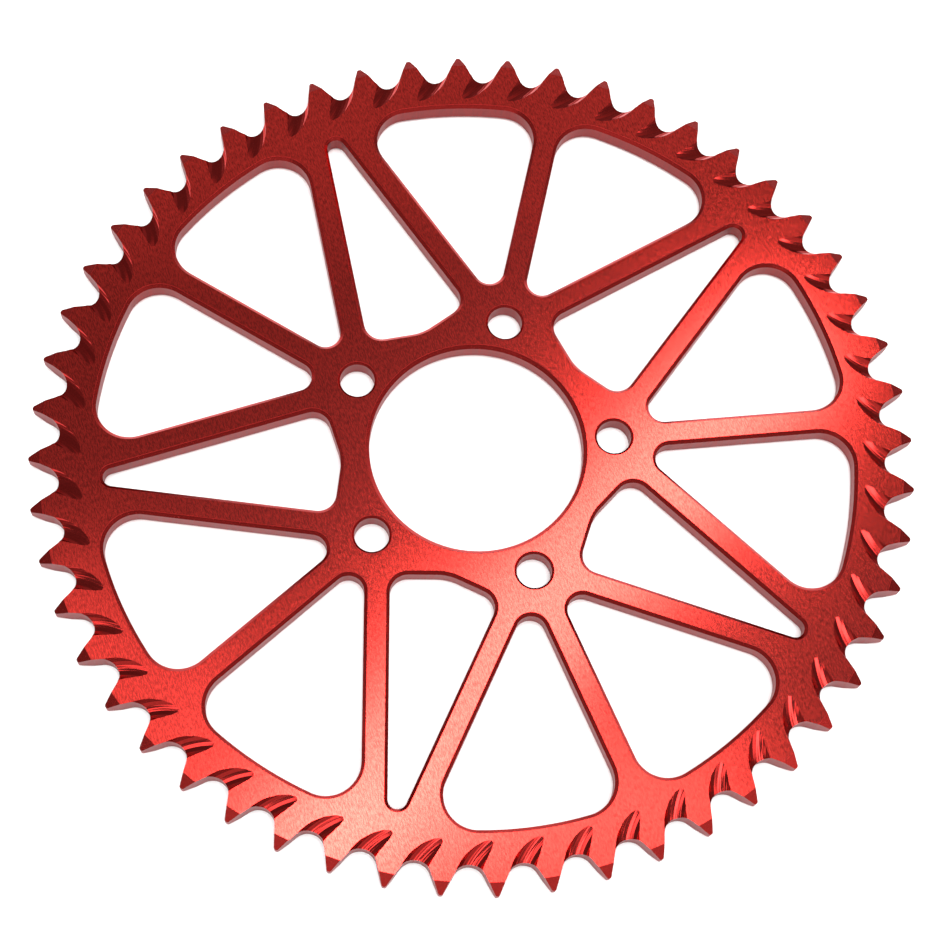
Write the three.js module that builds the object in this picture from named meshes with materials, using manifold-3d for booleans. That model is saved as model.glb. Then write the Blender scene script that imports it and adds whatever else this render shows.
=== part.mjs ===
// Rear sprocket for a 420 roller chain: a flat toothed plate cut from one billet.
// Millimetres. The origin is on the axis, in the flat back face, and +Z points
// out through the front face, the one with the mud-clearing grooves.
// Bolt hole 0 and one tooth gap lie on the +X axis.
import * as THREE from 'three';
import { mergeVertices } from 'three/addons/utils/BufferGeometryUtils.js';
import Module from 'manifold-3d';

const degrees = THREE.MathUtils.degToRad;

// Chain and teeth
const TEETH = 52;
const CHAIN_PITCH = 12.7;
const SEAT_RADIUS = 3.94; // a 7.77 mm roller with its running clearance
const FLANK_ANGLE = degrees(28); // from the gap's own radial line
const TIP_RADIUS = 108.45;
const TIP_CORNER = 0.5;
const BEVEL_WIDTH = 3.0; // radial width of the slope on each side of a tooth
const BEVEL_DROP = 1.6;

// Plate, bore and bolt holes
const THICKNESS = 5.8;
const BORE_RADIUS = 26.25;
const BORE_CHAMFER = 0.9;
const BOLT_HOLES = 5;
const BOLT_CIRCLE_RADIUS = 34;
const BOLT_HOLE_RADIUS = 4.25;
const BOLT_HOLE_CHAMFER = 0.55;

// Spokes and windows: every bolt boss carries one radial and two slanted spokes
const SPOKE_HALF_WIDTH = 3.05;
const SPOKE_SLANT = degrees(48.1); // from the bolt hole's radial line
const SPOKE_REACH = 23.87; // from the axis to a slanted spoke's middle line
const RIM_INNER_RADIUS = 93.35;
const WINDOW_CHAMFER = 0.8;
const WIDE_RIM_CORNER = 8.2;
const WIDE_HUB_CORNER = 3.75;
const NARROW_RIM_CORNER = 2.3;
const NARROW_HUB_CORNER = 4.45;
const NARROW_BASE_REACH = 32.25; // from the axis to each of the two base edges
const NARROW_BASE_SLOPE = degrees(12.6);
const NARROW_BASE_ROUND = 12;

// Mud grooves: the path of a ball-nosed cutter, in a tooth gap's own frame (x to the
// side, y outward, z from the front face to the ball's lowest point)
const BALL_RADIUS = 3.25;
const GROOVE_PATH = [
  [-8.2, 94.1, 0.25],
  [-4.1, 95.7, 0.5],
  [1.7, 102.3, -2.15],
  [0.5, 106.5, -2.2],
];
const GROOVE_STEPS = 4;

// Meshing
const ARC_TOLERANCE = 0.08; // how far a facet may stray from its arc
const OVERCUT = 0.5; // how far a cutter runs past the faces

const PITCH_RADIUS = CHAIN_PITCH / (2 * Math.sin(Math.PI / TEETH));
const TOOTH_STEP = (2 * Math.PI) / TEETH;
const BOLT_STEP = (2 * Math.PI) / BOLT_HOLES;
const QUARTER = Math.PI / 2; // shapes are drawn upright, about +Y, and then turned
const ORIGIN = new THREE.Vector2();

const wasm = await Module();
wasm.setup();

function direction(angle) {
  return new THREE.Vector2(Math.cos(angle), Math.sin(angle));
}

// Points along an arc, both ends included
function arcPoints(centre, radius, start, end) {
  const facet = 2 * Math.acos(1 - ARC_TOLERANCE / radius);
  const count = Math.max(1, Math.ceil(Math.abs(end - start) / facet));
  return Array.from({ length: count + 1 }, (_, i) => {
    const angle = start + ((end - start) * i) / count;
    return direction(angle).multiplyScalar(radius).add(centre);
  });
}

// A straight edge: reach is its distance from the axis, measured to its left, and
// side is +1 where the bounded region lies on its left, -1 on its right
function straightEdge(reach, angle, side) {
  const left = direction(angle + QUARTER);
  return {
    point: left.clone().multiplyScalar(reach),
    along: direction(angle),
    inward: left.clone().multiplyScalar(side),
    outwardAngle: angle - side * QUARTER,
  };
}

// Centre of the round corner between two straight edges
function cornerCentre(first, second, radius) {
  const a = first.point.clone().addScaledVector(first.inward, radius);
  const b = second.point.clone().addScaledVector(second.inward, radius);
  const travel = b.sub(a).dot(second.inward) / first.along.dot(second.inward);
  return a.addScaledVector(first.along, travel);
}

// Centre of the round corner between a straight edge and a circle about the axis
function rimCornerCentre(edge, rimRadius, radius) {
  const start = edge.point.clone().addScaledVector(edge.inward, radius);
  const behind = start.dot(edge.along);
  const reach = (rimRadius - radius) ** 2 - start.lengthSq() + behind ** 2;
  return start.addScaledVector(edge.along, Math.sqrt(reach) - behind);
}

function turned(points, angle) {
  return points.map((point) => point.clone().rotateAround(ORIGIN, angle));
}

function mirrored(points) {
  return points.map((point) => new THREE.Vector2(-point.x, point.y)).reverse();
}

function circle(radius) {
  return arcPoints(ORIGIN, radius, 0, 2 * Math.PI).slice(0, -1);
}

// A closed three.js geometry as a solid that can be cut
function solid(geometry) {
  const bare = geometry.clone();
  bare.deleteAttribute('normal');
  bare.deleteAttribute('uv');
  const merged = mergeVertices(bare, 1e-4);
  const triangles = [];
  for (let i = 0; i < merged.index.count; i += 3) {
    const [a, b, c] = merged.index.array.slice(i, i + 3);
    if (a !== b && b !== c && c !== a) triangles.push(a, b, c);
  }
  return new wasm.Manifold(new wasm.Mesh({
    numProp: 3,
    vertProperties: new Float32Array(merged.attributes.position.array),
    triVerts: new Uint32Array(triangles),
  }));
}

function geometryOf(manifold) {
  const mesh = manifold.getMesh();
  const geometry = new THREE.BufferGeometry();
  geometry.setAttribute('position', new THREE.BufferAttribute(mesh.vertProperties, 3));
  geometry.setIndex(new THREE.BufferAttribute(mesh.triVerts, 1));
  geometry.computeVertexNormals();
  return geometry;
}

// One tooth, from the bottom of the gap on its right to the bottom of the next
function toothPoints() {
  const gapAngle = QUARTER - TOOTH_STEP / 2;
  const seat = direction(gapAngle).multiplyScalar(PITCH_RADIUS);
  const flankAngle = gapAngle + FLANK_ANGLE;
  const contactAngle = flankAngle + QUARTER;
  const contact = direction(contactAngle).multiplyScalar(SEAT_RADIUS).add(seat);
  const flank = straightEdge(contact.dot(direction(contactAngle)), flankAngle, 1);
  const corner = rimCornerCentre(flank, TIP_RADIUS, TIP_CORNER);
  const half = [
    ...arcPoints(seat, SEAT_RADIUS, gapAngle + Math.PI, contactAngle),
    ...arcPoints(corner, TIP_CORNER, flank.outwardAngle, corner.angle()),
  ];
  return [...half, ...mirrored(half)];
}

function toothedPlate() {
  const tooth = toothPoints().slice(0, -1);
  const outline = [];
  for (let i = 0; i < TEETH; i += 1) {
    outline.push(...turned(tooth, (i + 0.5) * TOOTH_STEP - QUARTER));
  }
  const options = { depth: THICKNESS, bevelEnabled: false };
  return solid(new THREE.ExtrudeGeometry(new THREE.Shape(outline), options));
}

// A disc whose rim slopes away on both sides, with one flat facet to each tooth
function bevelledDisc() {
  const overhang = 1.5;
  const facetGrowth = 1 / Math.cos(TOOTH_STEP / 2);
  const edge = (TIP_RADIUS - BEVEL_WIDTH) * facetGrowth;
  const outside = (TIP_RADIUS + overhang) * facetGrowth;
  const drop = (BEVEL_DROP * (BEVEL_WIDTH + overhang)) / BEVEL_WIDTH;
  const profile = [
    new THREE.Vector2(0, 0),
    new THREE.Vector2(edge, 0),
    new THREE.Vector2(outside, drop),
    new THREE.Vector2(outside, THICKNESS - drop),
    new THREE.Vector2(edge, THICKNESS),
    new THREE.Vector2(0, THICKNESS),
  ];
  return solid(new THREE.LatheGeometry(profile, TEETH).rotateX(QUARTER));
}

// Cutter for an opening with a chamfer on both faces; the outline is that of its wall
function openingCutter(outline, chamfer) {
  const flare = chamfer + OVERCUT;
  const geometry = new THREE.ExtrudeGeometry(new THREE.Shape(outline), {
    depth: THICKNESS - 2 * chamfer,
    bevelThickness: flare,
    bevelSize: -flare,
    bevelOffset: flare,
    bevelSegments: 1,
  });
  return solid(geometry.translate(0, 0, chamfer));
}

// The window on the right of a boss, between its radial and its slanted spoke
function wideWindow() {
  const slant = QUARTER - SPOKE_SLANT;
  const radialSide = straightEdge(-SPOKE_HALF_WIDTH, QUARTER, -1);
  const slantedSide = straightEdge(SPOKE_REACH + SPOKE_HALF_WIDTH, slant, 1);
  const left = rimCornerCentre(radialSide, RIM_INNER_RADIUS, WIDE_RIM_CORNER);
  const right = rimCornerCentre(slantedSide, RIM_INNER_RADIUS, WIDE_RIM_CORNER);
  const hub = cornerCentre(radialSide, slantedSide, WIDE_HUB_CORNER);
  return [
    ...arcPoints(hub, WIDE_HUB_CORNER, -Math.PI, slantedSide.outwardAngle),
    ...arcPoints(right, WIDE_RIM_CORNER, slantedSide.outwardAngle, right.angle()),
    ...arcPoints(ORIGIN, RIM_INNER_RADIUS, right.angle(), left.angle()).slice(1, -1),
    ...arcPoints(left, WIDE_RIM_CORNER, left.angle(), Math.PI),
  ];
}

// The window between two bosses, narrowing to the rim and centred on +Y
function narrowWindow() {
  const lean = QUARTER - SPOKE_SLANT + BOLT_STEP / 2;
  const reach = SPOKE_REACH - SPOKE_HALF_WIDTH;
  const leftSide = straightEdge(reach, lean, -1);
  const rightSide = straightEdge(-reach, Math.PI - lean, 1);
  const leftBase = straightEdge(NARROW_BASE_REACH, -NARROW_BASE_SLOPE, 1);
  const rightBase = straightEdge(NARROW_BASE_REACH, NARROW_BASE_SLOPE, 1);
  const rim = cornerCentre(leftSide, rightSide, NARROW_RIM_CORNER);
  const hub = cornerCentre(leftSide, leftBase, NARROW_HUB_CORNER);
  const base = cornerCentre(leftBase, rightBase, NARROW_BASE_ROUND);
  const sideAngle = leftSide.outwardAngle;
  const baseAngle = leftBase.outwardAngle + 2 * Math.PI;
  const half = [
    ...arcPoints(rim, NARROW_RIM_CORNER, QUARTER, sideAngle),
    ...arcPoints(hub, NARROW_HUB_CORNER, sideAngle, baseAngle),
    ...arcPoints(base, NARROW_BASE_ROUND, baseAngle, 3 * QUARTER),
  ];
  return [...half, ...mirrored(half).slice(1, -1)];
}

// The openings that repeat at every bolt hole, around the hole on the +Y axis
function sectorCutters() {
  const wide = wideWindow();
  const narrow = turned(narrowWindow(), -BOLT_STEP / 2);
  const hole = openingCutter(circle(BOLT_HOLE_RADIUS), BOLT_HOLE_CHAMFER);
  return wasm.Manifold.union([
    openingCutter(wide, WINDOW_CHAMFER),
    openingCutter(mirrored(wide), WINDOW_CHAMFER),
    openingCutter(narrow, WINDOW_CHAMFER),
    hole.translate([0, BOLT_CIRCLE_RADIUS, 0]),
  ]);
}

// The cutter for the mud groove in the tooth gap on the +Y axis
function grooveCutter() {
  const ballCentre = THICKNESS + BALL_RADIUS;
  const points = GROOVE_PATH.map(([x, y, z]) => new THREE.Vector3(x, y, z + ballCentre));
  return solid(new THREE.ExtrudeGeometry(new THREE.Shape(circle(BALL_RADIUS)), {
    steps: GROOVE_STEPS,
    extrudePath: new THREE.CubicBezierCurve3(...points),
  }));
}

// Copies of a solid turned about the axis, the first of them from +Y to +X
function ring(cutter, count, step) {
  const toDegrees = THREE.MathUtils.radToDeg;
  const copies = Array.from({ length: count }, (_, i) => (
    cutter.rotate([0, 0, toDegrees(i * step - QUARTER)])
  ));
  return wasm.Manifold.union(copies);
}

function sprocketGeometry() {
  const bore = openingCutter(circle(BORE_RADIUS), BORE_CHAMFER);
  const plate = toothedPlate()
    .intersect(bevelledDisc())
    .subtract(bore)
    .subtract(ring(sectorCutters(), BOLT_HOLES, BOLT_STEP))
    .subtract(ring(grooveCutter(), TEETH, TOOTH_STEP));
  return geometryOf(plate);
}

function anodisedAluminium() {
  return new THREE.MeshStandardMaterial({ color: 0xb92321, roughness: 0.4, metalness: 0.9 });
}

const sprocket = new THREE.Mesh(sprocketGeometry(), anodisedAluminium());
sprocket.name = 'sprocket';

const part = new THREE.Group();
part.add(sprocket);

export default part;
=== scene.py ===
# Looks of the rear sprocket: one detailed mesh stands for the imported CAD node, in a
# red satin anodised finish, on a pale floor under soft studio light.
# Shape sizes are in millimetres and become metres when a mesh is made. The origin is
# on the axis in the back face, and +Z leaves through the grooved front face.
import cmath
import math
from collections import Counter

import bmesh
import bpy
import numpy as np
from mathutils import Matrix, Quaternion, Vector
from mathutils.geometry import delaunay_2d_cdt


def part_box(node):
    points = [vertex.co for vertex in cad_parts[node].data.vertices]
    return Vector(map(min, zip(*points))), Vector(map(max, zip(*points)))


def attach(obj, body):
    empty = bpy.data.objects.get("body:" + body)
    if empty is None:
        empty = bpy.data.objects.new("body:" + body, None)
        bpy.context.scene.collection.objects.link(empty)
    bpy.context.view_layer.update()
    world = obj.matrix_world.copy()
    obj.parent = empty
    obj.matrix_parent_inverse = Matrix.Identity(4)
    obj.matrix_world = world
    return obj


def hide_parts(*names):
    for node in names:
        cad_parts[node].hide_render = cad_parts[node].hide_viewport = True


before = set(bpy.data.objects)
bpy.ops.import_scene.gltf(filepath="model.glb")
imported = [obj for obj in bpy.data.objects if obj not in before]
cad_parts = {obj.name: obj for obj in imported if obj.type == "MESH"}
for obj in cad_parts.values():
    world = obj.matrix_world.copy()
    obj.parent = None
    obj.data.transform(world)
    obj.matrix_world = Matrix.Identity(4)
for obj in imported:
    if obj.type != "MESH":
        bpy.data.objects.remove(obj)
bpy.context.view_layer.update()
LOW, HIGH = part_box("sprocket")

MM = 0.001
QUARTER = math.pi / 2

# Chain and teeth
TEETH = 52
CHAIN_PITCH = 12.7
SEAT_RADIUS = 3.94
FLANK_ANGLE = math.radians(28)
TIP_RADIUS = 108.45
TIP_CORNER = 0.5
BEVEL_WIDTH = 3.0
BEVEL_DROP = 1.6

# Plate, bore and bolt holes
THICKNESS = (HIGH.z - LOW.z) / MM
BORE_RADIUS = 26.25
BORE_CHAMFER = 0.9
BOLT_HOLES = 5
BOLT_CIRCLE_RADIUS = 34
BOLT_HOLE_RADIUS = 4.25
BOLT_HOLE_CHAMFER = 0.55

# Spokes and windows
SPOKE_HALF_WIDTH = 3.05
SPOKE_SLANT = math.radians(48.1)
SPOKE_REACH = 23.87
RIM_INNER_RADIUS = 93.35
WINDOW_CHAMFER = 0.8
WIDE_RIM_CORNER = 8.2
WIDE_HUB_CORNER = 3.75
NARROW_RIM_CORNER = 2.3
NARROW_HUB_CORNER = 4.45
NARROW_BASE_REACH = 32.25
NARROW_BASE_SLOPE = math.radians(12.6)
NARROW_BASE_ROUND = 12

# Mud grooves: the tool's path in a tooth gap's own frame (x to the side, y outward, z
# from the front face to the tool's lowest point), and the ridges that its passes leave
GROOVE_RADIUS = 3.25
GROOVE_PATH = [(-8.2, 94.1, 0.25), (-4.1, 95.7, 0.5), (1.7, 102.3, -2.15), (0.5, 106.5, -2.2)]
GROOVE_STEPS = 22
RIDGES = 12
RIDGE_HEIGHT = 0.05
RIDGE_RISE = 0.55  # the share of the path over which the ridges reach their height
RIDGE_STEPS = 4

# The finishes, in the order of every mesh's material slots
FACE, CHAMFER, EDGE, WALL, GROOVE = range(5)

# Meshing
ARC_TOLERANCE = 0.012
OVERCUT = 0.5
BLANK_MARGIN = 1  # how far the toothed blank reaches past each face before it is cut
DISC_OVERHANG = 1.5  # how far the bevelled disc reaches past the tooth tips
EDGE_ROUND = 0.1  # radius of the soft edge where a chamfer meets a face
BEVEL_ROUND = 0.2  # radius of the soft edge where the teeth's bevel meets a face
EDGE_STEPS = 3
SHARP_ANGLE = math.radians(17)
FLATNESS = 1e-7  # how far a point of a flat face may be from its plane, in metres

PITCH_RADIUS = CHAIN_PITCH / (2 * math.sin(math.pi / TEETH))
TOOTH_STEP = 2 * math.pi / TEETH
BOLT_STEP = 2 * math.pi / BOLT_HOLES

# Finish: linear red, green and blue at the ends of each colour, and lengths in metres
BRUSH_ANGLE = math.radians(103.5)
FACE_DARK, FACE_LIGHT = (0.40, 0.022, 0.017), (0.80, 0.046, 0.035)
FACE_ROUGHNESS = (0.142, 0.15)
FACE_BUMP = 0.0000012
CUT_DARK, CUT_LIGHT = (0.42, 0.021, 0.018), (0.50, 0.027, 0.023)
CUT_ROUGHNESS = (0.24, 0.28)
CUT_BUMP = 0.000001
EDGE_DARK, EDGE_LIGHT = (0.34, 0.014, 0.012), (0.44, 0.020, 0.018)
EDGE_ROUGHNESS = (0.45, 0.5)
# The walls' colours are painted shade: far darker than the face's, they darken the walls of the
# openings and the sides of the teeth.
SHADED_WALL_DARK, SHADED_WALL_LIGHT = (0.17, 0.014, 0.013), (0.24, 0.021, 0.020)
WALL_ROUGHNESS = (0.4, 0.55)
GROOVE_ROUGHNESS = (0.13, 0.17)
GROOVE_BUMP = 0.000002
COAT_WEIGHT = 0.07
COAT_ROUGHNESS = 0.3
COAT_IOR = 1.6

# Grain: the width, length and depth of each kind of streak, in metres
BRUSH_STREAK = (0.00028, 0.0011, 0.002)
BRUSH_LINE = (0.0006, 0.01, 0.002)
MILL_STREAK = (0.00045, 0.00045, 0.006)
SPECK = (0.0003, 0.0003, 0.0003)
CLOUD = (0.03, 0.03, 0.03)
CLOUD_SHARE = 0.07
NOISE_DETAIL = 2.0
NOISE_ROUGHNESS = 0.6

# The stretches of the texture, from 0 to 1, over which colour and roughness change
COLOUR_STRETCH = (0.4, 0.6)
ROUGHNESS_STRETCH = (0.3, 0.7)

FLOOR_REACH = 4000
FLOOR_GAP = 0.1
FLOOR_COLOUR = (0.9, 0.9, 0.9, 1)
FLOOR_ROUGHNESS = 0.8

# Softboxes that the metal mirrors: name, place and size in metres, brightness, and turn
# in degrees
SOFTBOXES = [
    ("strip", (0.11, 0.195, 1.0), (0.66, 0.085), 14.5, 42.5),
    ("low", (0.10, 0.06, 0.99), (0.32, 0.10), 4.2, 0),
    ("low_left", (-0.15, 0.15, 0.98), (0.26, 0.14), 1.2, -45),
    ("above", (0.3, 0.65, 1.05), (1.6, 1.1), 0.06, 0),
    ("back", (0.2, 0.85, 1.04), (1.1, 0.6), 0.22, 0),
    ("near", (0.2, -0.25, 1.0), (0.9, 0.2), 6.5, 27),
    ("near_low", (0.05, -0.54, 1.0), (0.6, 0.14), 3, 0),
    ("near_left", (-0.5, 0.0, 1.0), (0.26, 0.45), 3.5, 25),
    ("near_right", (0.62, 0.12, 1.0), (0.14, 0.3), 3.2, 0),
    ("far_left", (-0.8, -0.27, 1.0), (0.6, 0.2), 2.5, 15),
    ("far_right", (0.85, -0.36, 1.0), (0.6, 0.14), 2.8, 0),
    ("front", (0.1, -1.15, 1.0), (2.6, 1.1), 0.65, 0),
    ("glint", (1.45, -0.85, 1.0), (0.2, 0.2), 8, 0),
]
OVERHEAD_STRENGTH = 3.0
OVERHEAD_SPREAD = math.radians(60)

# The sky's brightness high up and at the horizon, and the angles between which it fades
SKY_GLOW = 0.18
HORIZON_GLOW = 0.4
HORIZON_FADE = (math.radians(8), math.radians(33))

# The camera and what it looks at, in metres
CAMERA_PLACE = Vector((-0.0483, -0.1700, 0.4914))
CAMERA_TARGET = Vector((-0.0012, -0.0071, HIGH.z))
CAMERA_ROLL = math.radians(10.69)
CAMERA_LENS = 80.18
CAMERA_SENSOR = 36
CAMERA_NEAR = 0.01


# ---- Outlines: points are complex numbers, x + iy ----

def dot(a, b):
    return (a.conjugate() * b).real


def arc(centre, radius, start, end):
    """Points along an arc, both ends included."""
    facet = 2 * math.acos(1 - ARC_TOLERANCE / radius)
    count = max(2, math.ceil(abs(end - start) / facet))
    angles = [start + (end - start) * i / count for i in range(count + 1)]
    return [centre + cmath.rect(radius, angle) for angle in angles]


class Edge:
    """A straight edge. reach is its distance from the axis, measured to its left, and
    side is +1 where the bounded region lies on its left, -1 on its right."""

    def __init__(self, reach, angle, side):
        left = cmath.rect(1, angle + QUARTER)
        self.point = reach * left
        self.along = cmath.rect(1, angle)
        self.inward = side * left
        self.outward_angle = angle - side * QUARTER


def corner_centre(first, second, radius):
    """Centre of the round corner between two straight edges."""
    a = first.point + radius * first.inward
    b = second.point + radius * second.inward
    travel = dot(b - a, second.inward) / dot(first.along, second.inward)
    return a + travel * first.along


def rim_corner_centre(edge, rim_radius, radius):
    """Centre of the round corner between a straight edge and a circle about the axis."""
    start = edge.point + radius * edge.inward
    behind = dot(start, edge.along)
    reach = (rim_radius - radius) ** 2 - abs(start) ** 2 + behind ** 2
    return start + (math.sqrt(reach) - behind) * edge.along


def turned(points, angle):
    return [point * cmath.rect(1, angle) for point in points]


def mirrored(points):
    return [-point.conjugate() for point in reversed(points)]


def circle(radius):
    return arc(0, radius, 0, 2 * math.pi)[:-1]


def tooth_outline():
    """One tooth, from the bottom of the gap on its right to the bottom of the next."""
    gap_angle = QUARTER - TOOTH_STEP / 2
    seat = cmath.rect(PITCH_RADIUS, gap_angle)
    flank_angle = gap_angle + FLANK_ANGLE
    contact_angle = flank_angle + QUARTER
    contact = seat + cmath.rect(SEAT_RADIUS, contact_angle)
    flank = Edge(dot(contact, cmath.rect(1, contact_angle)), flank_angle, 1)
    corner = rim_corner_centre(flank, TIP_RADIUS, TIP_CORNER)
    half = [
        *arc(seat, SEAT_RADIUS, gap_angle + math.pi, contact_angle),
        *arc(corner, TIP_CORNER, flank.outward_angle, cmath.phase(corner)),
    ]
    return half + mirrored(half)


def toothed_outline():
    tooth = tooth_outline()[:-1]
    points = []
    for i in range(TEETH):
        points += turned(tooth, (i + 0.5) * TOOTH_STEP - QUARTER)
    return points


def wide_window():
    """The window on the right of a boss, between its radial and its slanted spoke."""
    slant = QUARTER - SPOKE_SLANT
    radial_side = Edge(-SPOKE_HALF_WIDTH, QUARTER, -1)
    slanted_side = Edge(SPOKE_REACH + SPOKE_HALF_WIDTH, slant, 1)
    left = rim_corner_centre(radial_side, RIM_INNER_RADIUS, WIDE_RIM_CORNER)
    right = rim_corner_centre(slanted_side, RIM_INNER_RADIUS, WIDE_RIM_CORNER)
    hub = corner_centre(radial_side, slanted_side, WIDE_HUB_CORNER)
    outward = slanted_side.outward_angle
    return [
        *arc(hub, WIDE_HUB_CORNER, -math.pi, outward),
        *arc(right, WIDE_RIM_CORNER, outward, cmath.phase(right)),
        *arc(0, RIM_INNER_RADIUS, cmath.phase(right), cmath.phase(left))[1:-1],
        *arc(left, WIDE_RIM_CORNER, cmath.phase(left), math.pi),
    ]


def narrow_window():
    """The window between two bosses, narrowing to the rim and centred on +Y."""
    lean = QUARTER - SPOKE_SLANT + BOLT_STEP / 2
    reach = SPOKE_REACH - SPOKE_HALF_WIDTH
    left_side = Edge(reach, lean, -1)
    right_side = Edge(-reach, math.pi - lean, 1)
    left_base = Edge(NARROW_BASE_REACH, -NARROW_BASE_SLOPE, 1)
    right_base = Edge(NARROW_BASE_REACH, NARROW_BASE_SLOPE, 1)
    rim = corner_centre(left_side, right_side, NARROW_RIM_CORNER)
    hub = corner_centre(left_side, left_base, NARROW_HUB_CORNER)
    base = corner_centre(left_base, right_base, NARROW_BASE_ROUND)
    side_angle = left_side.outward_angle
    base_angle = left_base.outward_angle + 2 * math.pi
    half = [
        *arc(rim, NARROW_RIM_CORNER, QUARTER, side_angle),
        *arc(hub, NARROW_HUB_CORNER, side_angle, base_angle),
        *arc(base, NARROW_BASE_ROUND, base_angle, 3 * QUARTER),
    ]
    return half + mirrored(half)[1:-1]


# ---- Solids ----

def mesh_object(name, solid, materials):
    """A mesh object from a solid: its points in millimetres, its faces and the number
    of each face's material."""
    points, faces, finishes = solid
    mesh = bpy.data.meshes.new(name)
    mesh.from_pydata([[value * MM for value in point] for point in points], [], faces)
    for material in materials:
        mesh.materials.append(material)
    mesh.polygons.foreach_set("material_index", finishes)
    mesh.update()
    piece = bpy.data.objects.new(name, mesh)
    bpy.context.scene.collection.objects.link(piece)
    return piece


def moved_outward(outline, distance):
    """The outline with each side moved outward; it runs anticlockwise."""
    points = np.array(outline)
    behind = points - np.roll(points, 1)
    ahead = np.roll(points, -1) - points
    first = -1j * behind / abs(behind)
    second = -1j * ahead / abs(ahead)
    mitre = (first + second) / (1 + (first.conjugate() * second).real)
    return points + distance * mitre


def lofted(rings, bands):
    """A closed solid through rings of equal length, lowest first. bands has the finish
    between each ring and the next; the two ends are faces."""
    count = len(rings[0])
    points = [point for ring in rings for point in ring]
    faces = [list(reversed(range(count)))]
    for level in range(len(rings) - 1):
        below = level * count
        for i in range(count):
            j = (i + 1) % count
            faces.append([below + i, below + j, below + count + j, below + count + i])
    faces.append([len(points) - count + i for i in range(count)])
    finishes = [finish for finish in bands for _ in range(count)]
    return points, faces, [FACE, *finishes, FACE]


def prism(outline, profile, bands):
    """A closed solid whose outline moves outward by each (distance, height) in turn."""
    rings = []
    for distance, height in profile:
        ring = moved_outward(outline, distance)
        rings.append([(point.real, point.imag, height) for point in ring])
    return lofted(rings, bands)


def rounded_corner(before, corner, after, radius):
    """Points (distance, height) of the small arc in place of a corner."""
    before, corner, after = (complex(*point) for point in (before, corner, after))
    toward = (before - corner) / abs(before - corner)
    away = (after - corner) / abs(after - corner)
    half_angle = math.acos(max(-1, min(1, dot(toward, away)))) / 2
    middle = (toward + away) / abs(toward + away)
    centre = corner + middle * radius / math.sin(half_angle)
    first = corner + toward * radius / math.tan(half_angle) - centre
    sweep = cmath.phase((corner + away * radius / math.tan(half_angle) - centre) / first)
    arc_points = [centre + first * cmath.rect(1, sweep * i / EDGE_STEPS)
                  for i in range(EDGE_STEPS + 1)]
    return [(point.real, point.imag) for point in arc_points]


def opening_cutter(outline, chamfer):
    """The cutter for an opening that has chamfers with soft edges on both faces."""
    far = chamfer + OVERCUT
    rise = EDGE_ROUND / 4  # keeps the cutter's brim off the face
    top = [
        (0, -chamfer),
        *rounded_corner((0, -chamfer), (chamfer, 0), (far, 0), EDGE_ROUND)[:-1],
        (chamfer + EDGE_ROUND * math.tan(QUARTER / 4), 0),
        (far, rise),
        (far, OVERCUT),
    ]
    profile = [(distance, -height) for distance, height in reversed(top)]
    profile += [(distance, THICKNESS + height) for distance, height in top]
    slope = [CHAMFER, *[EDGE] * (len(top) - 2)]
    return prism(outline, profile, [*reversed(slope), WALL, *slope])


def opening_cutters():
    """All the openings' cutters, which are clear of each other."""
    solids = [opening_cutter(circle(BORE_RADIUS), BORE_CHAMFER)]
    for i in range(BOLT_HOLES):
        turn = i * BOLT_STEP - QUARTER
        windows = [
            turned(wide_window(), turn),
            turned(mirrored(wide_window()), turn),
            turned(narrow_window(), turn - BOLT_STEP / 2),
        ]
        solids += [opening_cutter(window, WINDOW_CHAMFER) for window in windows]
        centre = cmath.rect(BOLT_CIRCLE_RADIUS, i * BOLT_STEP)
        hole = [point + centre for point in circle(BOLT_HOLE_RADIUS)]
        solids.append(opening_cutter(hole, BOLT_HOLE_CHAMFER))
    return joined(solids)


def joined(solids):
    points = []
    faces = []
    finishes = []
    for some_points, some_faces, some_finishes in solids:
        faces += [[len(points) + i for i in face] for face in some_faces]
        points += some_points
        finishes += some_finishes
    return points, faces, finishes


def bevelled_disc():
    """A disc whose rim slopes away on both sides, with one flat facet to each tooth."""
    edge = TIP_RADIUS - BEVEL_WIDTH
    outside = TIP_RADIUS + DISC_OVERHANG
    drop = BEVEL_DROP * (BEVEL_WIDTH + DISC_OVERHANG) / BEVEL_WIDTH
    upper = [(outside, THICKNESS - drop)]
    upper += rounded_corner(upper[0], (edge, THICKNESS), (0, THICKNESS), BEVEL_ROUND)
    profile = [(radius, THICKNESS - height) for radius, height in reversed(upper)] + upper
    slope = [CHAMFER, *[EDGE] * EDGE_STEPS]
    growth = 1 / math.cos(TOOTH_STEP / 2)
    rings = []
    for radius, height in profile:
        ring = [cmath.rect(radius * growth, i * TOOTH_STEP) for i in range(TEETH)]
        rings.append([(point.real, point.imag, height) for point in ring])
    return lofted(rings, [*reversed(slope), WALL, *slope])


def bezier(path, share):
    """The point and direction on a cubic Bezier curve."""
    a, b, c, d = (np.array(point) for point in path)
    rest = 1 - share
    point = rest ** 3 * a + 3 * rest ** 2 * share * b + 3 * rest * share ** 2 * c + share ** 3 * d
    slope = rest ** 2 * (b - a) + 2 * rest * share * (c - b) + share ** 2 * (d - c)
    return point, slope / np.linalg.norm(slope)


def groove_section(ridge_height):
    """The lower half of the groove tool as (side, up), scalloped by its passes."""
    count = RIDGES * RIDGE_STEPS
    section = []
    for i in range(count + 1):
        angle = math.pi * i / count
        in_pass = (i % RIDGE_STEPS) / RIDGE_STEPS
        ridge = (2 * in_pass - 1) ** 2
        radius = GROOVE_RADIUS - ridge_height * ridge
        section.append((radius * math.cos(angle), -radius * math.sin(angle)))
    return section


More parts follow.
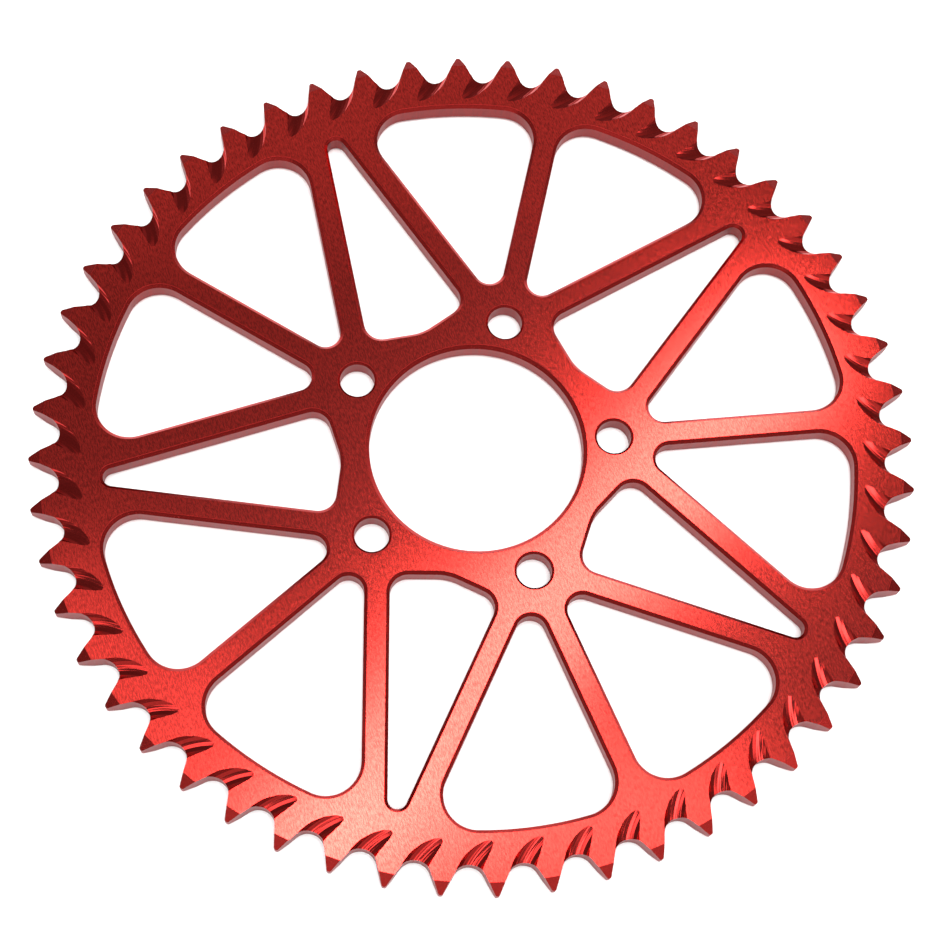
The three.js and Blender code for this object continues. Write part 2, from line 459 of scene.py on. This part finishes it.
def groove_cutters():
    """The groove tool's whole way through each tooth gap, as one solid to a gap."""
    rings = []
    for step in range(GROOVE_STEPS + 1):
        share = step / GROOVE_STEPS
        section = groove_section(RIDGE_HEIGHT * min(1, share / RIDGE_RISE))
        point, along = bezier(GROOVE_PATH, share)
        side = np.cross(along, (0, 0, 1))
        side /= np.linalg.norm(side)
        up = np.cross(side, along)
        centre = point + (0, 0, THICKNESS + GROOVE_RADIUS)
        rings.append([tuple(centre + x * side + y * up) for x, y in section])
    points, faces, _ = lofted(rings, [GROOVE] * GROOVE_STEPS)
    solids = []
    for i in range(TEETH):
        turn = cmath.rect(1, i * TOOTH_STEP - QUARTER)
        spots = [complex(x, y) * turn for x, y, _ in points]
        moved = [(spot.real, spot.imag, point[2]) for spot, point in zip(spots, points)]
        solids.append((moved, faces, [GROOVE] * len(faces)))
    return joined(solids)


def combine(piece, solid, operation):
    """Cuts or intersects a piece with a solid."""
    other = mesh_object("cutter", solid, piece.data.materials)
    modifier = piece.modifiers.new("cut", "BOOLEAN")
    modifier.operation = operation
    modifier.object = other
    modifier.solver = "MANIFOLD"
    modifier.material_mode = "INDEX"
    piece.data = bpy.data.meshes.new_from_object(evaluated(piece))
    piece.modifiers.clear()
    bpy.data.objects.remove(other)


def evaluated(piece):
    bpy.context.view_layer.update()
    return piece.evaluated_get(bpy.context.evaluated_depsgraph_get())


def sprocket_piece(materials):
    heights = [(0, -BLANK_MARGIN), (0, THICKNESS + BLANK_MARGIN)]
    blank = prism(toothed_outline(), heights, [WALL])
    piece = mesh_object("sprocket_plate", blank, materials)
    combine(piece, bevelled_disc(), "INTERSECT")
    combine(piece, opening_cutters(), "DIFFERENCE")
    retriangulate(piece)
    combine(piece, groove_cutters(), "DIFFERENCE")
    retriangulate(piece)
    shade(piece)
    return piece


def encloses(starts, ends, point):
    """Whether the loops made by the sides from starts to ends go round a point."""
    level = (starts[:, 1] > point[1]) != (ends[:, 1] > point[1])
    low, high = starts[level], ends[level]
    share = (point[1] - low[:, 1]) / (high[:, 1] - low[:, 1])
    crossings = low[:, 0] + share * (high[:, 0] - low[:, 0])
    return np.count_nonzero(crossings > point[0]) % 2 == 1


def retriangulate(piece):
    """Gives the two large flat faces, which are full of holes, well-shaped triangles."""
    shape = bmesh.new()
    shape.from_mesh(piece.data)
    for height in (0, THICKNESS * MM):
        flat = [face for face in shape.faces
                if all(abs(vert.co.z - height) < FLATNESS for vert in face.verts)]
        uses = Counter(edge for face in flat for edge in face.edges)
        rim = [edge for edge, count in uses.items() if count == 1]
        bmesh.ops.delete(shape, geom=flat, context="FACES_KEEP_BOUNDARY")
        verts = sorted({vert for edge in rim for vert in edge.verts}, key=lambda v: v.index)
        place = {vert: i for i, vert in enumerate(verts)}
        sides = [tuple(place[vert] for vert in edge.verts) for edge in rim]
        points = [vert.co.xy for vert in verts]
        _, _, triangles, _, _, _ = delaunay_2d_cdt(points, sides, [], 0, FLATNESS / 100)
        points = np.array(points)
        starts, ends = (points[list(side)] for side in zip(*sides))
        for corners in triangles:
            if encloses(starts, ends, points[corners].mean(0)):
                ordered = corners if height > 0 else reversed(corners)
                made = shape.faces.new([verts[i] for i in ordered])
                made.material_index = FACE
    bmesh.ops.triangulate(shape, faces=[face for face in shape.faces if len(face.verts) > 4])
    shape.to_mesh(piece.data)
    shape.free()


def sharpen_groove_rims(mesh):
    """Makes every edge between a groove and its surroundings sharp, even a shallow one."""
    shape = bmesh.new()
    shape.from_mesh(mesh)
    for side in shape.edges:
        in_groove = [face.material_index == GROOVE for face in side.link_faces]
        if any(in_groove) and not all(in_groove):
            side.smooth = False
    shape.to_mesh(mesh)
    shape.free()


def shade(piece):
    """Smooth shading that keeps flat faces flat and edges crisp."""
    piece.data.shade_smooth()
    piece.data.set_sharp_from_angle(angle=SHARP_ANGLE)
    sharpen_groove_rims(piece.data)
    modifier = piece.modifiers.new("normals", "WEIGHTED_NORMAL")
    modifier.keep_sharp = True
    piece.data = bpy.data.meshes.new_from_object(evaluated(piece))
    piece.modifiers.clear()


# ---- Finishes ----

def link(tree, kind, settings=(), **inputs):
    """Adds a node. Each input is a value, or the output of another node."""
    node = tree.nodes.new("ShaderNode" + kind)
    for name, value in dict(settings).items():
        setattr(node, name, value)
    for name, value in inputs.items():
        socket = node.inputs[name.replace("_", " ")]
        if isinstance(value, bpy.types.NodeSocket):
            tree.links.new(value, socket)
        else:
            socket.default_value = value
    return node


def streaks(tree, angle, width, length, depth):
    """Noise in streaks of a width and length (across and up, in metres) at an angle to
    +X. depth is the length along Z."""
    place = link(tree, "TexCoord").outputs["Object"]
    along = link(tree, "VectorRotate", {"rotation_type": "Z_AXIS"}, Vector=place, Angle=-angle)
    scale = (1 / length, 1 / width, 1 / depth)
    scaled = link(tree, "VectorMath", {"operation": "MULTIPLY"}, Vector=along.outputs[0])
    scaled.inputs[1].default_value = scale
    noise = link(tree, "TexNoise", Vector=scaled.outputs[0], Scale=1.0,
                 Detail=NOISE_DETAIL, Roughness=NOISE_ROUGHNESS)
    return noise.outputs["Fac"]


def mixed(tree, parts):
    """The weighted sum of some noises, each of which has a mean of one half."""
    total = None
    for noise, weight in parts:
        part = link(tree, "Math", {"operation": "MULTIPLY"})
        tree.links.new(noise, part.inputs[0])
        part.inputs[1].default_value = weight
        if total is None:
            total = part.outputs[0]
        else:
            added = link(tree, "Math", {"operation": "ADD"})
            tree.links.new(total, added.inputs[0])
            tree.links.new(part.outputs[0], added.inputs[1])
            total = added.outputs[0]
    return total


def spread(tree, value, low, high, to_low, to_high):
    """value moved from one range to another, and held inside it."""
    node = link(tree, "MapRange", Value=value, From_Min=low, From_Max=high, To_Min=to_low,
                To_Max=to_high)
    return node.outputs["Result"]


def anodised(name, grain, dark, light, roughness, bump):
    """Dyed anodised aluminium. grain makes its texture, as a number near one half; dark
    and light are the ends of its colour, roughness the ends of its roughness, and bump
    the height of its texture in metres."""
    material = bpy.data.materials.new(name)
    material.use_nodes = True
    tree = material.node_tree
    shader = tree.nodes["Principled BSDF"]
    texture = grain(tree)
    cloud = streaks(tree, 0, *CLOUD)
    tint = mixed(tree, [(texture, 1 - CLOUD_SHARE), (cloud, CLOUD_SHARE)])
    ramp = link(tree, "ValToRGB", Fac=spread(tree, tint, *COLOUR_STRETCH, 0, 1))
    ramp.color_ramp.elements[0].color = (*dark, 1)
    ramp.color_ramp.elements[1].color = (*light, 1)
    raised = link(tree, "Bump", Strength=1.0, Distance=bump, Height=texture)
    tree.links.new(ramp.outputs["Color"], shader.inputs["Base Color"])
    rough = spread(tree, tint, *ROUGHNESS_STRETCH, *roughness)
    tree.links.new(rough, shader.inputs["Roughness"])
    tree.links.new(raised.outputs["Normal"], shader.inputs["Normal"])
    tree.links.new(raised.outputs["Normal"], shader.inputs["Coat Normal"])
    shader.inputs["Metallic"].default_value = 1
    shader.inputs["Coat Weight"].default_value = COAT_WEIGHT
    shader.inputs["Coat Roughness"].default_value = COAT_ROUGHNESS
    shader.inputs["Coat IOR"].default_value = COAT_IOR
    return material


def brushed_grain(tree):
    return mixed(tree, [
        (streaks(tree, BRUSH_ANGLE, *BRUSH_STREAK), 0.75),
        (streaks(tree, BRUSH_ANGLE, *BRUSH_LINE), 0.1),
        (streaks(tree, 0, *SPECK), 0.15),
    ])


def milled_grain(tree):
    return mixed(tree, [
        (streaks(tree, 0, *MILL_STREAK), 0.6),
        (streaks(tree, 0, *SPECK), 0.4),
    ])


def pale_floor():
    material = bpy.data.materials.new("pale_floor")
    material.use_nodes = True
    shader = material.node_tree.nodes["Principled BSDF"]
    shader.inputs["Base Color"].default_value = FLOOR_COLOUR
    shader.inputs["Roughness"].default_value = FLOOR_ROUGHNESS
    corners = [(-FLOOR_REACH, -FLOOR_REACH), (FLOOR_REACH, -FLOOR_REACH),
               (FLOOR_REACH, FLOOR_REACH), (-FLOOR_REACH, FLOOR_REACH)]
    points = [(x, y, -FLOOR_GAP) for x, y in corners]
    mesh_object("floor", (points, [[0, 1, 2, 3]], [0]), [material])


def soft_panel(name, place, size, radiance, turn):
    """A softbox that faces straight down. radiance is its brightness where it is seen."""
    light = bpy.data.lights.new(name, "AREA")
    light.shape = "RECTANGLE"
    light.size, light.size_y = size
    light.energy = radiance * math.pi * light.size * light.size_y
    lamp = bpy.data.objects.new(name, light)
    lamp.location = place
    lamp.rotation_euler.z = math.radians(turn)
    bpy.context.scene.collection.objects.link(lamp)


def overhead():
    """Even light from straight above for the whole floor. The metal doesn't mirror it."""
    light = bpy.data.lights.new("overhead", "SUN")
    light.energy = OVERHEAD_STRENGTH
    light.angle = OVERHEAD_SPREAD
    lamp = bpy.data.objects.new("overhead", light)
    lamp.visible_glossy = False
    bpy.context.scene.collection.objects.link(lamp)


def surroundings():
    """A dim sky that is a little paler toward the horizon."""
    world = bpy.data.worlds.new("surroundings")
    world.use_nodes = True
    tree = world.node_tree
    background = tree.nodes["Background"]
    background.inputs["Color"].default_value = (1, 1, 1, 1)
    direction = link(tree, "SeparateXYZ", Vector=link(tree, "TexCoord").outputs["Generated"])
    low, high = (math.sin(angle) for angle in HORIZON_FADE)
    glow = spread(tree, direction.outputs["Z"], low, high, HORIZON_GLOW, SKY_GLOW)
    tree.links.new(glow, background.inputs["Strength"])
    bpy.context.scene.world = world


def studio():
    surroundings()
    for softbox in SOFTBOXES:
        soft_panel(*softbox)
    overhead()
    bpy.context.scene.view_settings.view_transform = "Standard"


def camera():
    data = bpy.data.cameras.new("camera")
    data.lens = CAMERA_LENS
    data.sensor_width = CAMERA_SENSOR
    data.clip_start = CAMERA_NEAR
    viewer = bpy.data.objects.new("camera", data)
    viewer.location = CAMERA_PLACE
    aim = (CAMERA_TARGET - CAMERA_PLACE).to_track_quat("-Z", "Y")
    viewer.rotation_mode = "QUATERNION"
    viewer.rotation_quaternion = aim @ Quaternion((0, 0, 1), CAMERA_ROLL)
    bpy.context.scene.collection.objects.link(viewer)
    bpy.context.scene.camera = viewer


camera()
studio()
pale_floor()
plate = sprocket_piece([
    anodised("brushed_face", brushed_grain, FACE_DARK, FACE_LIGHT, FACE_ROUGHNESS, FACE_BUMP),
    anodised("milled_chamfer", milled_grain, CUT_DARK, CUT_LIGHT, CUT_ROUGHNESS, CUT_BUMP),
    anodised("worn_edge", milled_grain, EDGE_DARK, EDGE_LIGHT, EDGE_ROUGHNESS, CUT_BUMP),
    # The walls' finish carries painted shade in its darker colours.
    anodised("milled_wall_painted_shade", milled_grain, SHADED_WALL_DARK, SHADED_WALL_LIGHT, WALL_ROUGHNESS, CUT_BUMP),
    anodised("milled_groove", milled_grain, CUT_DARK, CUT_LIGHT, GROOVE_ROUGHNESS, GROOVE_BUMP),
])
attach(plate, "root")
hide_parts("sprocket")
